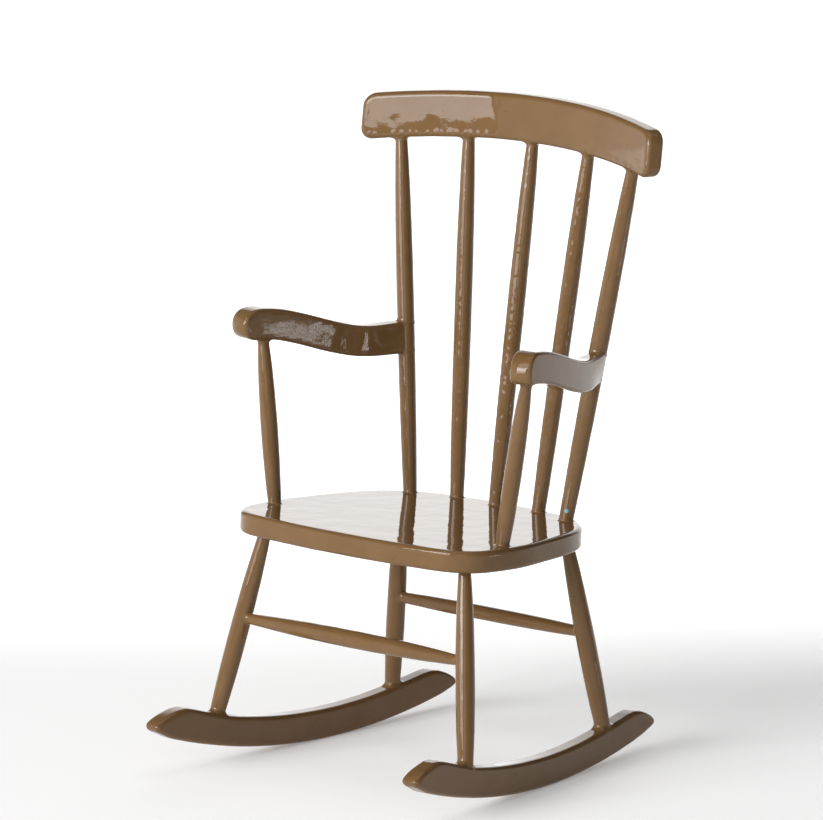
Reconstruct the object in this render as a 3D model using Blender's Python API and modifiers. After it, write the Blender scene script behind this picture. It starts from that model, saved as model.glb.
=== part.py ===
"""A dolls' house rocking chair: a spindle-back rocker with open arms, in brown enamelled metal.

The chair stands on Z = 0, on the lowest flat of each rocker, and faces -Y. X = 0 is its plane of
symmetry. Left and right are the sitter's, so the left side is +X. Y = 0 is halfway along the
rockers. Every upright and stretcher is a turned piece with a round tenon at each end, which sits
in a socket of the piece that it joins. The back end of each arm is hollowed to fit round the
front of the outer back post. All the dimensions below are in millimetres and degrees.
"""

import math

import bmesh
import bpy
from mathutils import Matrix, Vector, geometry

MM = 0.001

# Fit of the joints
SOCKET_CLEARANCE = 0.2      # between a tenon and the wall of its socket
SOCKET_END_GAP = 0.25       # between the end of a tenon and the bottom of its socket
SHOULDER_GAP = 0.25         # between the shoulder of a stretcher and the side of its leg
SOCKET_RUN_IN = 2.5         # how far outside its mouth the cutter of a socket starts

# Seat: a rounded slab that falls towards the back
SEAT_TILT = 3.0
SEAT_THICKNESS = 5.1
SEAT_EDGE_RADIUS = 0.9
SEAT_Y = 2.5                # the point of the seat's top face that the tilt turns about
SEAT_TOP_Z = 58.0           # height of the top face at that point
SEAT_OUTLINE = (            # the left half of the plan, from the middle of the front edge
    (0.0, -27.4), (20.0, -26.2), (33.8, -22.8), (37.7, -12.3), (36.1, 5.2),
    (33.3, 17.4), (30.4, 23.2), (23.6, 29.0), (11.0, 32.3), (0.0, 32.8),
)

# Rockers: flat curved blades, a little closer together at the back than at the front
ROCKER_RADIUS = 158.5       # of the underside
ROCKER_LOW_Y = 7.8          # where the underside is lowest
ROCKER_X = 33.65            # middle of the blade there
ROCKER_TOE = 5.2            # angle between a blade and the plane of symmetry
ROCKER_THICKNESS = 4.7
ROCKER_DEPTH = 7.1          # between the underside and the top, along the middle of the blade
ROCKER_FACET = 2.0          # angle of one flat of the underside
ROCKER_EDGE_RADIUS = 0.7
ROCKER_FRONT = ((-51.7, 14.3), (-55.1, 13.1), (-56.5, 11.9), (-55.7, 10.8))
ROCKER_FRONT_RISE = ((-40.5, 13.1), (-46.5, 15.0))
ROCKER_BACK_RISE = ((21.2, 8.6), (27.5, 9.6), (33.0, 10.3))
ROCKER_BACK = ((36.9, 9.3), (40.0, 7.6), (40.8, 6.4), (40.2, 5.5))
ROCKER_UNDERSIDE = (-54.0, 39.0)    # from the front nose to the back nose
ROCKER_TOP_ARC = (-34.0, 14.0)      # the stretch of the top that runs along with the underside

# Legs: foot on the rocker and head under the seat, left side
FRONT_LEG_FOOT = (37.4, -26.9, 11.6)
FRONT_LEG_HEAD = (29.9, -18.3, 54.0)
BACK_LEG_FOOT = (31.9, 29.0, 8.6)
BACK_LEG_HEAD = (25.1, 24.2, 51.8)
LEG_RADII = (1.8, 2.2, 1.45)        # at the foot, where it is thickest, and at the head
LEG_THICKEST = 0.42                 # as a fraction of the way up
LEG_TENON = (1.15, 2.2)             # radius and length
LEG_GAP = 0.6               # clears the slope of the rocker's top and of the seat's underside

# Stretchers between the legs of a pair: height, radii at the end and in the middle
FRONT_STRETCHER_Z = 33.9
FRONT_STRETCHER_RADII = (1.2, 2.05)
BACK_STRETCHER_Z = 31.0
BACK_STRETCHER_RADII = (1.3, 1.7)
STRETCHER_THICKEST = 0.5
STRETCHER_TENON = (0.85, 1.6)

# Back: foot on the seat and head under the crest rail, from the middle one outwards
SPINDLE_FEET = ((0.0, 28.6), (12.3, 29.3), (23.5, 25.6))
SPINDLE_HEADS_X = (0.0, 17.9, 34.6)
SPINDLE_RADII = (1.5, 1.93, 1.2)    # at the foot, in the middle and at the head
SPINDLE_THICKEST = 0.5
SPINDLE_TENON = (0.95, 2.0)
SPINDLE_GAP = 0.45          # clears the slope of the seat's top and of the rail's bottom edge

# Crest rail: a slab bent in plan, arched in height and leaning back
CREST_BEND_RADIUS = 103.0
CREST_ARCH_RADIUS = 350.0
CREST_LEAN = 8.0
CREST_Y = 41.8              # middle of the slab at its bottom edge, at X = 0
CREST_BOTTOM_Z = 140.4      # bottom edge at X = 0
CREST_HEIGHT = 10.8
CREST_THICKNESS = 4.2
CREST_HALF_LENGTH = 43.5
CREST_CORNER_RADIUS = 2.8
CREST_EDGE_RADIUS = 1.1
CREST_SLICES = 16

# Arms: a bar that drops in an S from its round front end to the outer post of the back
ARM_FRONT_X = 41.5          # middle of the left arm's front end
ARM_FRONT_Y = -14.5
ARM_FRONT_Z = 100.2         # middle of the bar at the front
ARM_BACK_Z = 92.6           # middle of the bar at the post
ARM_DROP = (-10.8, 22.2)    # from and to Y
ARM_SPLAY_FRONT = 10.0      # angle to the plane of symmetry at the front end
ARM_HEIGHT = 6.9
ARM_WIDTH_FRONT = 5.7
ARM_WIDTH_BACK = 4.9
ARM_BACK_SETBACK = 0.7      # from the arm's back end to the axis of the post it is hollowed for
ARM_HOLLOW_REACH = 8.0      # of the hollow for the post, above and below the arm's middle
ARM_NOSE_RADIUS = 3.4
ARM_EDGE_RADIUS = 0.8
ARM_SLICES = 16

# Arm posts: foot on the seat, head under the arm
ARM_POST_FOOT = (34.2, -10.2)
ARM_POST_HEAD = (39.4, -8.1)
ARM_POST_RADII = (1.55, 2.0, 1.25)
ARM_POST_THICKEST = 0.45
ARM_POST_TENON = (0.95, 2.0)
ARM_POST_GAP = 0.45         # clears the slope of the seat's top and of the arm's underside

# Fineness of the surfaces
ROUND_SEGMENTS = 16         # round a turned piece and a socket
PROFILE_STEPS = 8           # along a turned piece
OUTLINE_STEPS = 4           # between two points of a smooth outline
ROCKER_TOP_STEPS = 12       # along the arc of a rocker's top
ROCKER_END_STEPS = 2        # between two points of a rocker's end
CORNER_SEGMENTS = 5         # across a large rounded corner
EDGE_SEGMENTS = 2           # across a rounded edge
EDGE_ANGLE = 40.0           # edges sharper than this are rounded
SMOOTH_ANGLE = 35.0         # edges flatter than this are shaded smooth
FLAT_ANGLE = 0.5            # faces closer than this to one plane are joined into one
WELD_DISTANCE = 0.01
SLOPE_STEP = 0.01           # half the stretch over which a slope is measured

ENAMEL_COLOR = (0.30, 0.188, 0.10, 1.0)
ENAMEL_ROUGHNESS = 0.15

PARTS = bpy.data.collections.new("miniature_rocking_chair")
CUTTERS = bpy.data.collections.new("socket_cutters")


def clear_scene():
    for obj in list(bpy.data.objects):
        bpy.data.objects.remove(obj, do_unlink=True)
    for collection in (PARTS, CUTTERS):
        bpy.context.scene.collection.children.link(collection)


def enamel(name):
    material = bpy.data.materials.new(name + "_enamel")
    material.use_nodes = True
    shader = material.node_tree.nodes["Principled BSDF"]
    shader.inputs["Base Color"].default_value = ENAMEL_COLOR
    shader.inputs["Roughness"].default_value = ENAMEL_ROUGHNESS
    shader.inputs["Metallic"].default_value = 0.0
    return material


def add_part(name, mesh):
    """Put a mesh in the model as a named piece with its own coat of enamel."""
    obj = bpy.data.objects.new(name, mesh)
    PARTS.objects.link(obj)
    mesh.materials.clear()
    mesh.materials.append(enamel(name))
    return obj


def smooth_round(mesh):
    mesh.shade_smooth()
    mesh.set_sharp_from_angle(angle=math.radians(SMOOTH_ANGLE))


def round_edges(obj, radius):
    bevel = obj.modifiers.new("rounded_edges", "BEVEL")
    bevel.width = radius * MM
    bevel.segments = EDGE_SEGMENTS
    bevel.limit_method = "ANGLE"
    bevel.angle_limit = math.radians(EDGE_ANGLE)


def mirrored(point):
    return (-point[0],) + tuple(point[1:])


def towards(start, end, distance):
    """The point at a distance from start on the way to end."""
    start, end = Vector(start), Vector(end)
    return start + (end - start).normalized() * distance


def aligned(start, end):
    """A transform that puts the origin at start and turns +Z towards end."""
    start, end = Vector(start), Vector(end)
    turn = (end - start).to_track_quat("Z", "Y").to_matrix().to_4x4()
    return Matrix.Translation(start * MM) @ turn


# ---------------------------------------------------------------- turned pieces and sockets

def swell(radii, thickest, t):
    """Radius at t, from 0 to 1, of a bar that is thickest on the way between its two ends."""
    first, middle, last = radii
    end, reach = (first, thickest) if t < thickest else (last, 1.0 - thickest)
    away = abs(t - thickest) / reach
    return middle - (middle - end) * away ** 2.4


def turned_profile(length, radii, thickest, tenon):
    """Outer side of a turned piece, from the top of its upper tenon to the end of its lower one."""
    tenon_radius, tenon_length = tenon
    outline = [(0.0, length + tenon_length), (tenon_radius, length + tenon_length)]
    outline.append((tenon_radius, length))
    for step in range(PROFILE_STEPS, -1, -1):
        t = step / PROFILE_STEPS
        outline.append((swell(radii, thickest, t), t * length))
    outline += [(tenon_radius, 0.0), (tenon_radius, -tenon_length), (0.0, -tenon_length)]
    return outline


def turned_piece(name, foot, head, radii, thickest, tenon, gap):
    """A turned piece between two joints. The gap keeps its square shoulders off its neighbours."""
    low = towards(foot, head, gap)
    high = towards(head, foot, gap)
    profile = turned_profile((high - low).length, radii, thickest, tenon)
    mesh = bpy.data.meshes.new(name)
    points = [(r * MM, 0.0, z * MM) for r, z in profile]
    edges = [(i, i + 1) for i in range(len(points) - 1)]
    mesh.from_pydata(points, edges, [])
    obj = add_part(name, mesh)
    screw = obj.modifiers.new("turning", "SCREW")
    screw.axis = "Z"
    screw.steps = screw.render_steps = ROUND_SEGMENTS
    screw.use_merge_vertices = True
    screw.merge_threshold = WELD_DISTANCE * MM
    screw.use_smooth_shade = False
    obj.matrix_world = aligned(low, high)
    return obj


def socket(owner, mouth, inward, depth, radius):
    """Drill a round blind hole in a piece: from its mouth to a point in the piece's own depth."""
    outside = towards(mouth, inward, -SOCKET_RUN_IN)
    bottom = towards(mouth, inward, depth)
    mesh = bpy.data.meshes.new(owner.name + "_socket")
    length = (bottom - outside).length * MM
    drill = bmesh.new()
    bmesh.ops.create_cone(
        drill, cap_ends=True, segments=ROUND_SEGMENTS, radius1=radius * MM, radius2=radius * MM,
        depth=length, matrix=Matrix.Translation((0, 0, length / 2)),
    )
    drill.to_mesh(mesh)
    drill.free()
    cutter = bpy.data.objects.new(mesh.name, mesh)
    CUTTERS.objects.link(cutter)
    cutter.matrix_world = aligned(outside, bottom)
    cutter.hide_render = True
    cutter.display_type = "WIRE"
    cut = owner.modifiers.new("socket", "BOOLEAN")
    cut.operation = "DIFFERENCE"
    cut.solver = "EXACT"
    cut.object = cutter


def tenon_socket(owner, mouth, far_end, tenon, gap):
    """The socket that takes the tenon of a piece which runs from the mouth to its far end."""
    tenon_radius, tenon_length = tenon
    depth = tenon_length - gap + SOCKET_END_GAP
    inward = Vector(mouth) * 2 - Vector(far_end)
    socket(owner, mouth, inward, depth, tenon_radius + SOCKET_CLEARANCE)


# ---------------------------------------------------------------- seat

def seat_top_z(y):
    return SEAT_TOP_Z - math.tan(math.radians(SEAT_TILT)) * (y - SEAT_Y)


def flat_blade(name, spline_kind, outline, thickness):
    """A closed outline in its own XY plane, filled and thickened to both sides, as a mesh."""
    curve = bpy.data.curves.new(name + "_outline", "CURVE")
    curve.dimensions = "2D"
    curve.fill_mode = "BOTH"
    curve.extrude = thickness / 2 * MM
    curve.resolution_u = OUTLINE_STEPS
    spline = curve.splines.new(spline_kind)
    spline.use_cyclic_u = True
    if spline_kind == "BEZIER":
        spline.bezier_points.add(len(outline) - 1)
        for point, (x, y) in zip(spline.bezier_points, outline):
            point.co = (x * MM, y * MM, 0.0)
            point.handle_left_type = point.handle_right_type = "AUTO"
    else:
        spline.points.add(len(outline) - 1)
        for point, (x, y) in zip(spline.points, outline):
            point.co = (x * MM, y * MM, 0.0, 1.0)
    holder = bpy.data.objects.new(name + "_outline", curve)
    PARTS.objects.link(holder)
    bpy.context.view_layer.update()
    evaluated = holder.evaluated_get(bpy.context.evaluated_depsgraph_get())
    mesh = bpy.data.meshes.new_from_object(evaluated)
    bpy.data.objects.remove(holder, do_unlink=True)
    mesh.name = name
    welded = bmesh.new()
    welded.from_mesh(mesh)
    bmesh.ops.remove_doubles(welded, verts=welded.verts, dist=WELD_DISTANCE * MM)
    bmesh.ops.dissolve_limit(
        welded, angle_limit=math.radians(FLAT_ANGLE), verts=welded.verts, edges=welded.edges,
    )
    bmesh.ops.recalc_face_normals(welded, faces=welded.faces)
    welded.to_mesh(mesh)
    welded.free()
    return mesh


def make_seat():
    right_half = [mirrored(point) for point in SEAT_OUTLINE[-2:0:-1]]
    outline = [(x, y - SEAT_Y) for x, y in list(SEAT_OUTLINE) + right_half]
    seat = add_part("seat", flat_blade("seat", "BEZIER", outline, SEAT_THICKNESS))
    tilt = Matrix.Rotation(math.radians(-SEAT_TILT), 4, "X")
    top_face = Vector((0.0, SEAT_Y, SEAT_TOP_Z)) * MM
    half_down = Matrix.Translation((0.0, 0.0, -SEAT_THICKNESS / 2 * MM))
    seat.matrix_world = Matrix.Translation(top_face) @ tilt @ half_down
    round_edges(seat, SEAT_EDGE_RADIUS)
    return seat


# ---------------------------------------------------------------- rockers and legs

def rocker_outline():
    """Side view of a blade: how far along it and how high, with the lowest point at 0, 0."""
    def arc(radius, centre_z, angles):
        return [(radius * math.sin(a), centre_z - radius * math.cos(a)) for a in angles]

    facet = math.radians(ROCKER_FACET)
    corner_radius = ROCKER_RADIUS / math.cos(facet / 2)
    first, last = (math.asin(end / ROCKER_RADIUS) / facet for end in ROCKER_UNDERSIDE)
    corners = range(math.ceil(first - 0.5), math.floor(last - 0.5) + 1)
    underside = arc(corner_radius, ROCKER_RADIUS, [(i + 0.5) * facet for i in corners])

    top_radius = ROCKER_RADIUS - ROCKER_DEPTH
    first, last = (math.asin(end / top_radius) for end in ROCKER_TOP_ARC)
    step = (first - last) / ROCKER_TOP_STEPS
    top = arc(top_radius, ROCKER_RADIUS, [last + step * i for i in range(ROCKER_TOP_STEPS + 1)])
    back = list(reversed(ROCKER_BACK)) + list(reversed(ROCKER_BACK_RISE)) + top[:1]
    front = top[-1:] + list(ROCKER_FRONT_RISE) + list(ROCKER_FRONT)
    return underside + smooth_through(back) + top[1:-1] + smooth_through(front)


def smooth_through(points):
    """Points on a smooth curve through the given ones."""
    points = [Vector((x, y, 0.0)) for x, y in points]
    ends = [points[0]] + points + [points[-1]]
    slopes = [(ends[i + 2] - ends[i]) / 2 for i in range(len(points))]
    curve = []
    for i in range(len(points) - 1):
        handles = (points[i] + slopes[i] / 3, points[i + 1] - slopes[i + 1] / 3)
        stretch = geometry.interpolate_bezier(
            points[i], *handles, points[i + 1], ROCKER_END_STEPS + 1,
        )
        curve += stretch[:-1]
    curve.append(points[-1])
    return [(point.x, point.y) for point in curve]


def make_rocker(name, side):
    mesh = flat_blade(name, "POLY", rocker_outline(), ROCKER_THICKNESS)
    rocker = add_part(name, mesh)
    stand = Matrix.Rotation(math.radians(90), 4, "Z") @ Matrix.Rotation(math.radians(90), 4, "X")
    toe = Matrix.Rotation(math.radians(side * ROCKER_TOE), 4, "Z")
    place = Matrix.Translation(Vector((side * ROCKER_X, ROCKER_LOW_Y, 0.0)) * MM)
    rocker.matrix_world = place @ toe @ stand
    round_edges(rocker, ROCKER_EDGE_RADIUS)
    return rocker


def point_at_height(foot, head, z):
    """The point at a height on the axis from foot to head."""
    t = (z - foot[2]) / (head[2] - foot[2])
    return tuple(a + (b - a) * t for a, b in zip(foot, head))


def make_legs(seat, rockers):
    """The four legs, in sockets of the seat and of the rockers. Returns them by name."""
    legs = {}
    for pair, foot, head in (
        ("front", FRONT_LEG_FOOT, FRONT_LEG_HEAD), ("back", BACK_LEG_FOOT, BACK_LEG_HEAD),
    ):
        for word, side in (("left", 1), ("right", -1)):
            ends = (foot, head) if side == 1 else (mirrored(foot), mirrored(head))
            name = "leg_" + pair + "_" + word
            legs[name] = turned_piece(name, *ends, LEG_RADII, LEG_THICKEST, LEG_TENON, LEG_GAP)
            tenon_socket(seat, ends[1], ends[0], LEG_TENON, LEG_GAP)
            tenon_socket(rockers[word], ends[0], ends[1], LEG_TENON, LEG_GAP)
    return legs


def make_stretcher(name, pair, z, radii, foot, head, legs):
    """A cross bar between the two legs of a pair, with its tenons in sockets of the legs."""
    left = point_at_height(foot, head, z)
    right = mirrored(left)
    t = (z - foot[2]) / (head[2] - foot[2])
    gap = swell(LEG_RADII, LEG_THICKEST, t) + SHOULDER_GAP
    tenon_radius, tenon_length = STRETCHER_TENON
    ends, middle = radii
    turned_piece(
        name, right, left, (ends, middle, ends), STRETCHER_THICKEST, STRETCHER_TENON, gap,
    )
    for word, near, far in (("left", left, right), ("right", right, left)):
        mouth = towards(near, far, gap)
        socket(
            legs["leg_" + pair + "_" + word], mouth, near, tenon_length + SOCKET_END_GAP,
            tenon_radius + SOCKET_CLEARANCE,
        )


# ---------------------------------------------------------------- back

def crest_middle_y(x, z):
    """Y of the middle of the crest rail's thickness."""
    bend = CREST_BEND_RADIUS - math.sqrt(CREST_BEND_RADIUS ** 2 - x ** 2)
    return CREST_Y - bend + math.tan(math.radians(CREST_LEAN)) * (z - CREST_BOTTOM_Z)


def crest_bottom_z(x):
    return CREST_BOTTOM_Z - (CREST_ARCH_RADIUS - math.sqrt(CREST_ARCH_RADIUS ** 2 - x ** 2))


def sliced_bar(length, width, height, slices, rounded, radius):
    """A bar along X, centred on the origin, with some edges rounded and cut into slices.

    rounded picks the edges to round by the middle of each edge, in units of the half sizes.
    """
    bar = bmesh.new()
    bmesh.ops.create_cube(bar, size=1.0, matrix=Matrix.Diagonal((length, width, height, 1.0)))
    half = Vector((length / 2, width / 2, height / 2))

    def edge_middle(edge):
        middle = (edge.verts[0].co + edge.verts[1].co) / 2
        return tuple(round(middle[i] / half[i]) for i in range(3))

    edges = [edge for edge in bar.edges if edge_middle(edge) in rounded]
    bmesh.ops.bevel(
        bar, geom=edges, offset=radius, offset_type="OFFSET", segments=CORNER_SEGMENTS, profile=0.5,
        affect="EDGES", clamp_overlap=True,
    )
    for i in range(1, slices):
        x = length * (i / slices - 0.5)
        bmesh.ops.bisect_plane(
            bar, geom=bar.verts[:] + bar.edges[:] + bar.faces[:], dist=1e-6,
            plane_co=(x, 0.0, 0.0), plane_no=(1.0, 0.0, 0.0),
        )
    return bar


def bent_part(name, bar, place):
    """A named piece from a straight bar in millimetres whose points are moved by place."""
    for vert in bar.verts:
        vert.co = Vector(place(vert.co)) * MM
    bmesh.ops.recalc_face_normals(bar, faces=bar.faces)
    mesh = bpy.data.meshes.new(name)
    bar.to_mesh(mesh)
    bar.free()
    return add_part(name, mesh)


def make_crest():
    corners = {(sx, 0, sz) for sx in (-1, 1) for sz in (-1, 1)}
    bar = sliced_bar(
        2 * CREST_HALF_LENGTH, CREST_THICKNESS, CREST_HEIGHT, CREST_SLICES, corners,
        CREST_CORNER_RADIUS,
    )

    def place(point):
        x, depth, up = point
        z = crest_bottom_z(x) + up + CREST_HEIGHT / 2
        turn = math.asin(x / CREST_BEND_RADIUS)
        return (
            x + depth * math.sin(turn), crest_middle_y(x, z) + depth * math.cos(turn), z,
        )

    crest = bent_part("crest_rail", bar, place)
    round_edges(crest, CREST_EDGE_RADIUS)
    return crest


def spindle_ends(place, side):
    """Foot on the seat and head under the crest rail of a spindle, counted from the middle."""
    x, y = SPINDLE_FEET[place]
    head_x = SPINDLE_HEADS_X[place]
    head_z = crest_bottom_z(head_x)
    foot = (side * x, y, seat_top_z(y))
    return foot, (side * head_x, crest_middle_y(head_x, head_z), head_z)


def make_spindles(seat, crest):
    """The three middle spindles and the two outer posts."""
    named = [
        ("spindle_centre", 0, 1), ("spindle_inner_left", 1, 1), ("spindle_inner_right", 1, -1),
        ("back_post_left", 2, 1), ("back_post_right", 2, -1),
    ]
    for name, place, side in named:
        foot, head = spindle_ends(place, side)
        turned_piece(
            name, foot, head, SPINDLE_RADII, SPINDLE_THICKEST, SPINDLE_TENON, SPINDLE_GAP,
        )
        tenon_socket(seat, foot, head, SPINDLE_TENON, SPINDLE_GAP)
        tenon_socket(crest, head, foot, SPINDLE_TENON, SPINDLE_GAP)


# ---------------------------------------------------------------- arms

def back_post_point(z, side):
    """The point at a height on the axis of an outer post of the back."""
    foot, head = spindle_ends(2, side)
    return point_at_height(foot, head, z)


def arm_plan_x(y):
    """X of the middle of the left arm, which bows out from the post to its front end."""
    back_x, back_y, _ = back_post_point(ARM_BACK_Z, 1)
    front_slope = math.tan(math.radians(ARM_SPLAY_FRONT))
    reach = back_y - ARM_FRONT_Y
    back_slope = 2 * (ARM_FRONT_X - back_x) / reach - front_slope
    along = back_y - y
    return back_x + back_slope * along - (back_slope - front_slope) * along ** 2 / (2 * reach)


def slope(curve, y):
    return (curve(y + SLOPE_STEP) - curve(y - SLOPE_STEP)) / (2 * SLOPE_STEP)


def arm_middle_z(y):
    """Height of the middle of an arm, level at both ends of its drop."""
    t = (y - ARM_DROP[0]) / (ARM_DROP[1] - ARM_DROP[0])
    t = min(1.0, max(0.0, t))
    return ARM_FRONT_Z - (ARM_FRONT_Z - ARM_BACK_Z) * (3 * t ** 2 - 2 * t ** 3)


def make_arm(name, side, seat):
    """An arm with its post: the arm's back end is hollowed to fit round the outer back post."""
    back_y = back_post_point(ARM_BACK_Z, 1)[1]
    length = back_y - ARM_BACK_SETBACK - ARM_FRONT_Y
    nose = {(-1, 0, -1), (-1, 0, 1)}
    bar = sliced_bar(length, 1.0, ARM_HEIGHT, ARM_SLICES, nose, ARM_NOSE_RADIUS)

    def place(point):
        along, across, up = point
        y = ARM_FRONT_Y + along + length / 2
        forward = (y - ARM_FRONT_Y) / length
        width = ARM_WIDTH_FRONT + (ARM_WIDTH_BACK - ARM_WIDTH_FRONT) * forward
        turn = -math.atan(slope(arm_plan_x, y))
        x = arm_plan_x(y) + across * width * math.cos(turn)
        rise = up * math.sqrt(1.0 + slope(arm_middle_z, y) ** 2)
        return side * x, y + across * width * math.sin(turn), arm_middle_z(y) + rise

    arm = bent_part(name, bar, place)
    round_edges(arm, ARM_EDGE_RADIUS)
    low = back_post_point(ARM_BACK_Z - ARM_HOLLOW_REACH, side)
    high = back_post_point(ARM_BACK_Z + ARM_HOLLOW_REACH, side)
    socket(arm, low, high, 2 * ARM_HOLLOW_REACH, SPINDLE_RADII[1] + SOCKET_CLEARANCE)

    foot_x, foot_y = ARM_POST_FOOT
    foot = (side * foot_x, foot_y, seat_top_z(foot_y))
    head_x, head_y = ARM_POST_HEAD
    head = (side * head_x, head_y, arm_middle_z(head_y) - ARM_HEIGHT / 2)
    turned_piece(
        name.replace("arm", "arm_post"), foot, head, ARM_POST_RADII, ARM_POST_THICKEST,
        ARM_POST_TENON, ARM_POST_GAP,
    )
    tenon_socket(seat, foot, head, ARM_POST_TENON, ARM_POST_GAP)
    tenon_socket(arm, head, foot, ARM_POST_TENON, ARM_POST_GAP)


def main():
    clear_scene()
    seat = make_seat()
    rockers = {"left": make_rocker("rocker_left", 1), "right": make_rocker("rocker_right", -1)}
    legs = make_legs(seat, rockers)
    make_stretcher(
        "stretcher_front", "front", FRONT_STRETCHER_Z, FRONT_STRETCHER_RADII,
        FRONT_LEG_FOOT, FRONT_LEG_HEAD, legs,
    )
    make_stretcher(
        "stretcher_back", "back", BACK_STRETCHER_Z, BACK_STRETCHER_RADII,
        BACK_LEG_FOOT, BACK_LEG_HEAD, legs,
    )
    crest = make_crest()
    make_spindles(seat, crest)
    make_arm("arm_left", 1, seat)
    make_arm("arm_right", -1, seat)
    for piece in PARTS.objects:
        smooth_round(piece.data)


main()
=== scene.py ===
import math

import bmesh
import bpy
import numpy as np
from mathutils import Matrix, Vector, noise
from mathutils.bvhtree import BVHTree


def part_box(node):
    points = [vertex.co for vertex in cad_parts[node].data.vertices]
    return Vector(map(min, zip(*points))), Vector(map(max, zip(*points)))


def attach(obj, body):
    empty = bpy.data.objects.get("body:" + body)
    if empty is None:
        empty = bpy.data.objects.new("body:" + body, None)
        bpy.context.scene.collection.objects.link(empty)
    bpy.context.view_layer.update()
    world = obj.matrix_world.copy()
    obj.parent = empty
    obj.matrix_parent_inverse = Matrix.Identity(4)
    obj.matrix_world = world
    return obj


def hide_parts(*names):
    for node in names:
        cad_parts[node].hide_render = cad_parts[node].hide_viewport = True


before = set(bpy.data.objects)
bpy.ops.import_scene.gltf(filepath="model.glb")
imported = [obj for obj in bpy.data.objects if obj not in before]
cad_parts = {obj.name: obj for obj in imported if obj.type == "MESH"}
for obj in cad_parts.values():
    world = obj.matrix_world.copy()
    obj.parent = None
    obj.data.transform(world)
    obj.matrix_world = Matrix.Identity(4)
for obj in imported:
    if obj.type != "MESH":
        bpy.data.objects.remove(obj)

# The looks of a dolls' house rocking chair: brown enamel, thick and glossy, over metal.
#
# Every CAD node is replaced by one finished piece on the same place. A turned piece takes its axis
# and its profile from its node, and its ends flow out on to the pieces that it joins, the way
# enamel fills a joint. The seat, the rockers, the arms and the crest rail take their outlines from
# their nodes, drawn through smoothly. Lengths are in millimetres unless a comment says otherwise.

MM = 0.001
SIDES = {"left": 1, "right": -1}

# Reading the CAD nodes
WELD_REACH = 0.002          # vertices nearer to each other than this are one
AXIS_PASSES = 3             # times that a turned node's axis is drawn again through its end centres
END_SLICE = 0.05            # how near its furthest point an end's vertices lie
RING_SLICE = 0.08           # how near its place a ring's vertices lie
RING_LEAST = 12             # vertices that make a ring
TENON_STEP = 0.1            # a turned piece's body is wider than its tenon by more than this
FLAT_FACE = 0.999           # cosine between a flat side's normal and its faces' normals
MOSTLY = 0.5                # the least part of a normal along the way that it is said to face

# Slabs: the seat, the rockers, the arms and the crest rail. Their points are counted round the
# outline, and soft is the length over which an outline is averaged.
EDGE_STEPS = 7              # across a rounded edge
WALL_RINGS = 5              # down a slab's side, between its rounded edges
CUT_REACH = 1e-4            # a cut takes the vertices that lie this near to it
CORNER_STEPS = 13           # points round the corner of a rounded box

SEAT_EDGE = 1.0             # radius of a rounded edge
SEAT_POINTS, SEAT_SOFT = 360, 1.6

ROCKER_EDGE = 1.05
ROCKER_WORK_POINTS, ROCKER_POINTS = 520, 420
ROCKER_NORMAL_SOFT = 0.6    # for the directions in which the bevel is given back
ROCKER_END_SOFT, ROCKER_SOFT = 0.45, 3.2
ROCKER_END, ROCKER_CHANGE = 9.0, 10.0   # length of a crisply drawn end, and of the change after it

CREST_EDGE = 1.15
CREST_SWELL = 0.1           # how much thicker the enamel lies along the middle of the rail's faces
CREST_CUT = 0.45            # size of its faces, small enough to show the sags
CREST_CORNER = 2.8          # radius of its corners, seen from the front
CREST_POINTS = 560
CREST_ROOM = 0.35           # how far its ends stay inside the node's box
# Places along the rail, clear of the spindles' sockets, where its node is measured
CREST_STATIONS = (-40.0, -29.0, -25.0, -11.0, -8.0, 8.0, 11.0, 25.0, 29.0, 40.0)
CREST_ORDER = 4             # of the curves drawn through what is measured
CREST_SPAN = 1.5            # above and below the middle, where the lean is measured
CREST_SHIFT = 0.5           # how far behind the middle its top is measured, and its bottom in front
CREST_FAR = 300.0           # outside the chair, where the measuring rays start
# The row of small sags along the front's lower edge: height above the edge, width, depth, pitch
CREST_SAGS = (1.2, 0.3, 0.2, 0.7)
SAG_SEED = 3.0

ARM_EDGE = 0.75
ARM_POINTS, ARM_SOFT = 460, 0.35
ARM_STATIONS = 16           # sections measured along the node
ARM_ENDS = (6.0, 3.0)       # lengths left out of the measuring at the node's front and back
ARM_ORDER = 3               # of the curve of an arm seen from above
NOSE_POINTS, ARM_SPINE_POINTS = 40, 150     # along an arm's nose, and along the rest of it
# Each arm's nose: the height of its tip as a share of the half height, the length of the rounding
# above and below the tip, and how far behind the CAD node's front it ends.
ARM_NOSES = {"left": (-0.4, 4.4, 2.2, 1.6), "right": (-0.05, 4.6, 4.2, 0.1)}
NOSE_DOME, NOSE_REACH = 0.6, 3.0        # how far an arm's front end bulges, and over what length
ARM_THICKER = 0.35          # enamel on top of an arm
ARM_SLIM = 0.06             # taken off half its width, to keep its sides inside the CAD box
ARM_WRAP = (0.22, -0.3)     # how far the arm's back end stands out from its post: outside, inside
ARM_END = 0.93              # the arm ends behind its post's axis at this share of the post's radius
ARM_BLEND = 12.0            # the length over which an arm turns into the wrap round its post

# Unevenness of the slabs' enamel: its height, and the length over which it changes
SEAT_WAVES = (0.03, 7.0)
ROCKER_WAVES = (0.03, 6.0)
CREST_WAVES = (0.035, 6.5)
ARM_WAVES = (0.03, 5.0)
ARM_FINE_WAVES = (0.012, 0.9)
WAVE_SEED_STEP = (17.3, 5.1, 9.7)       # how far one seed's noise lies from the next one's
RIPPLE_HEIGHT, RIPPLE_SCALE = 0.5, 2.3  # finer unevenness on top, against the waves

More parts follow.
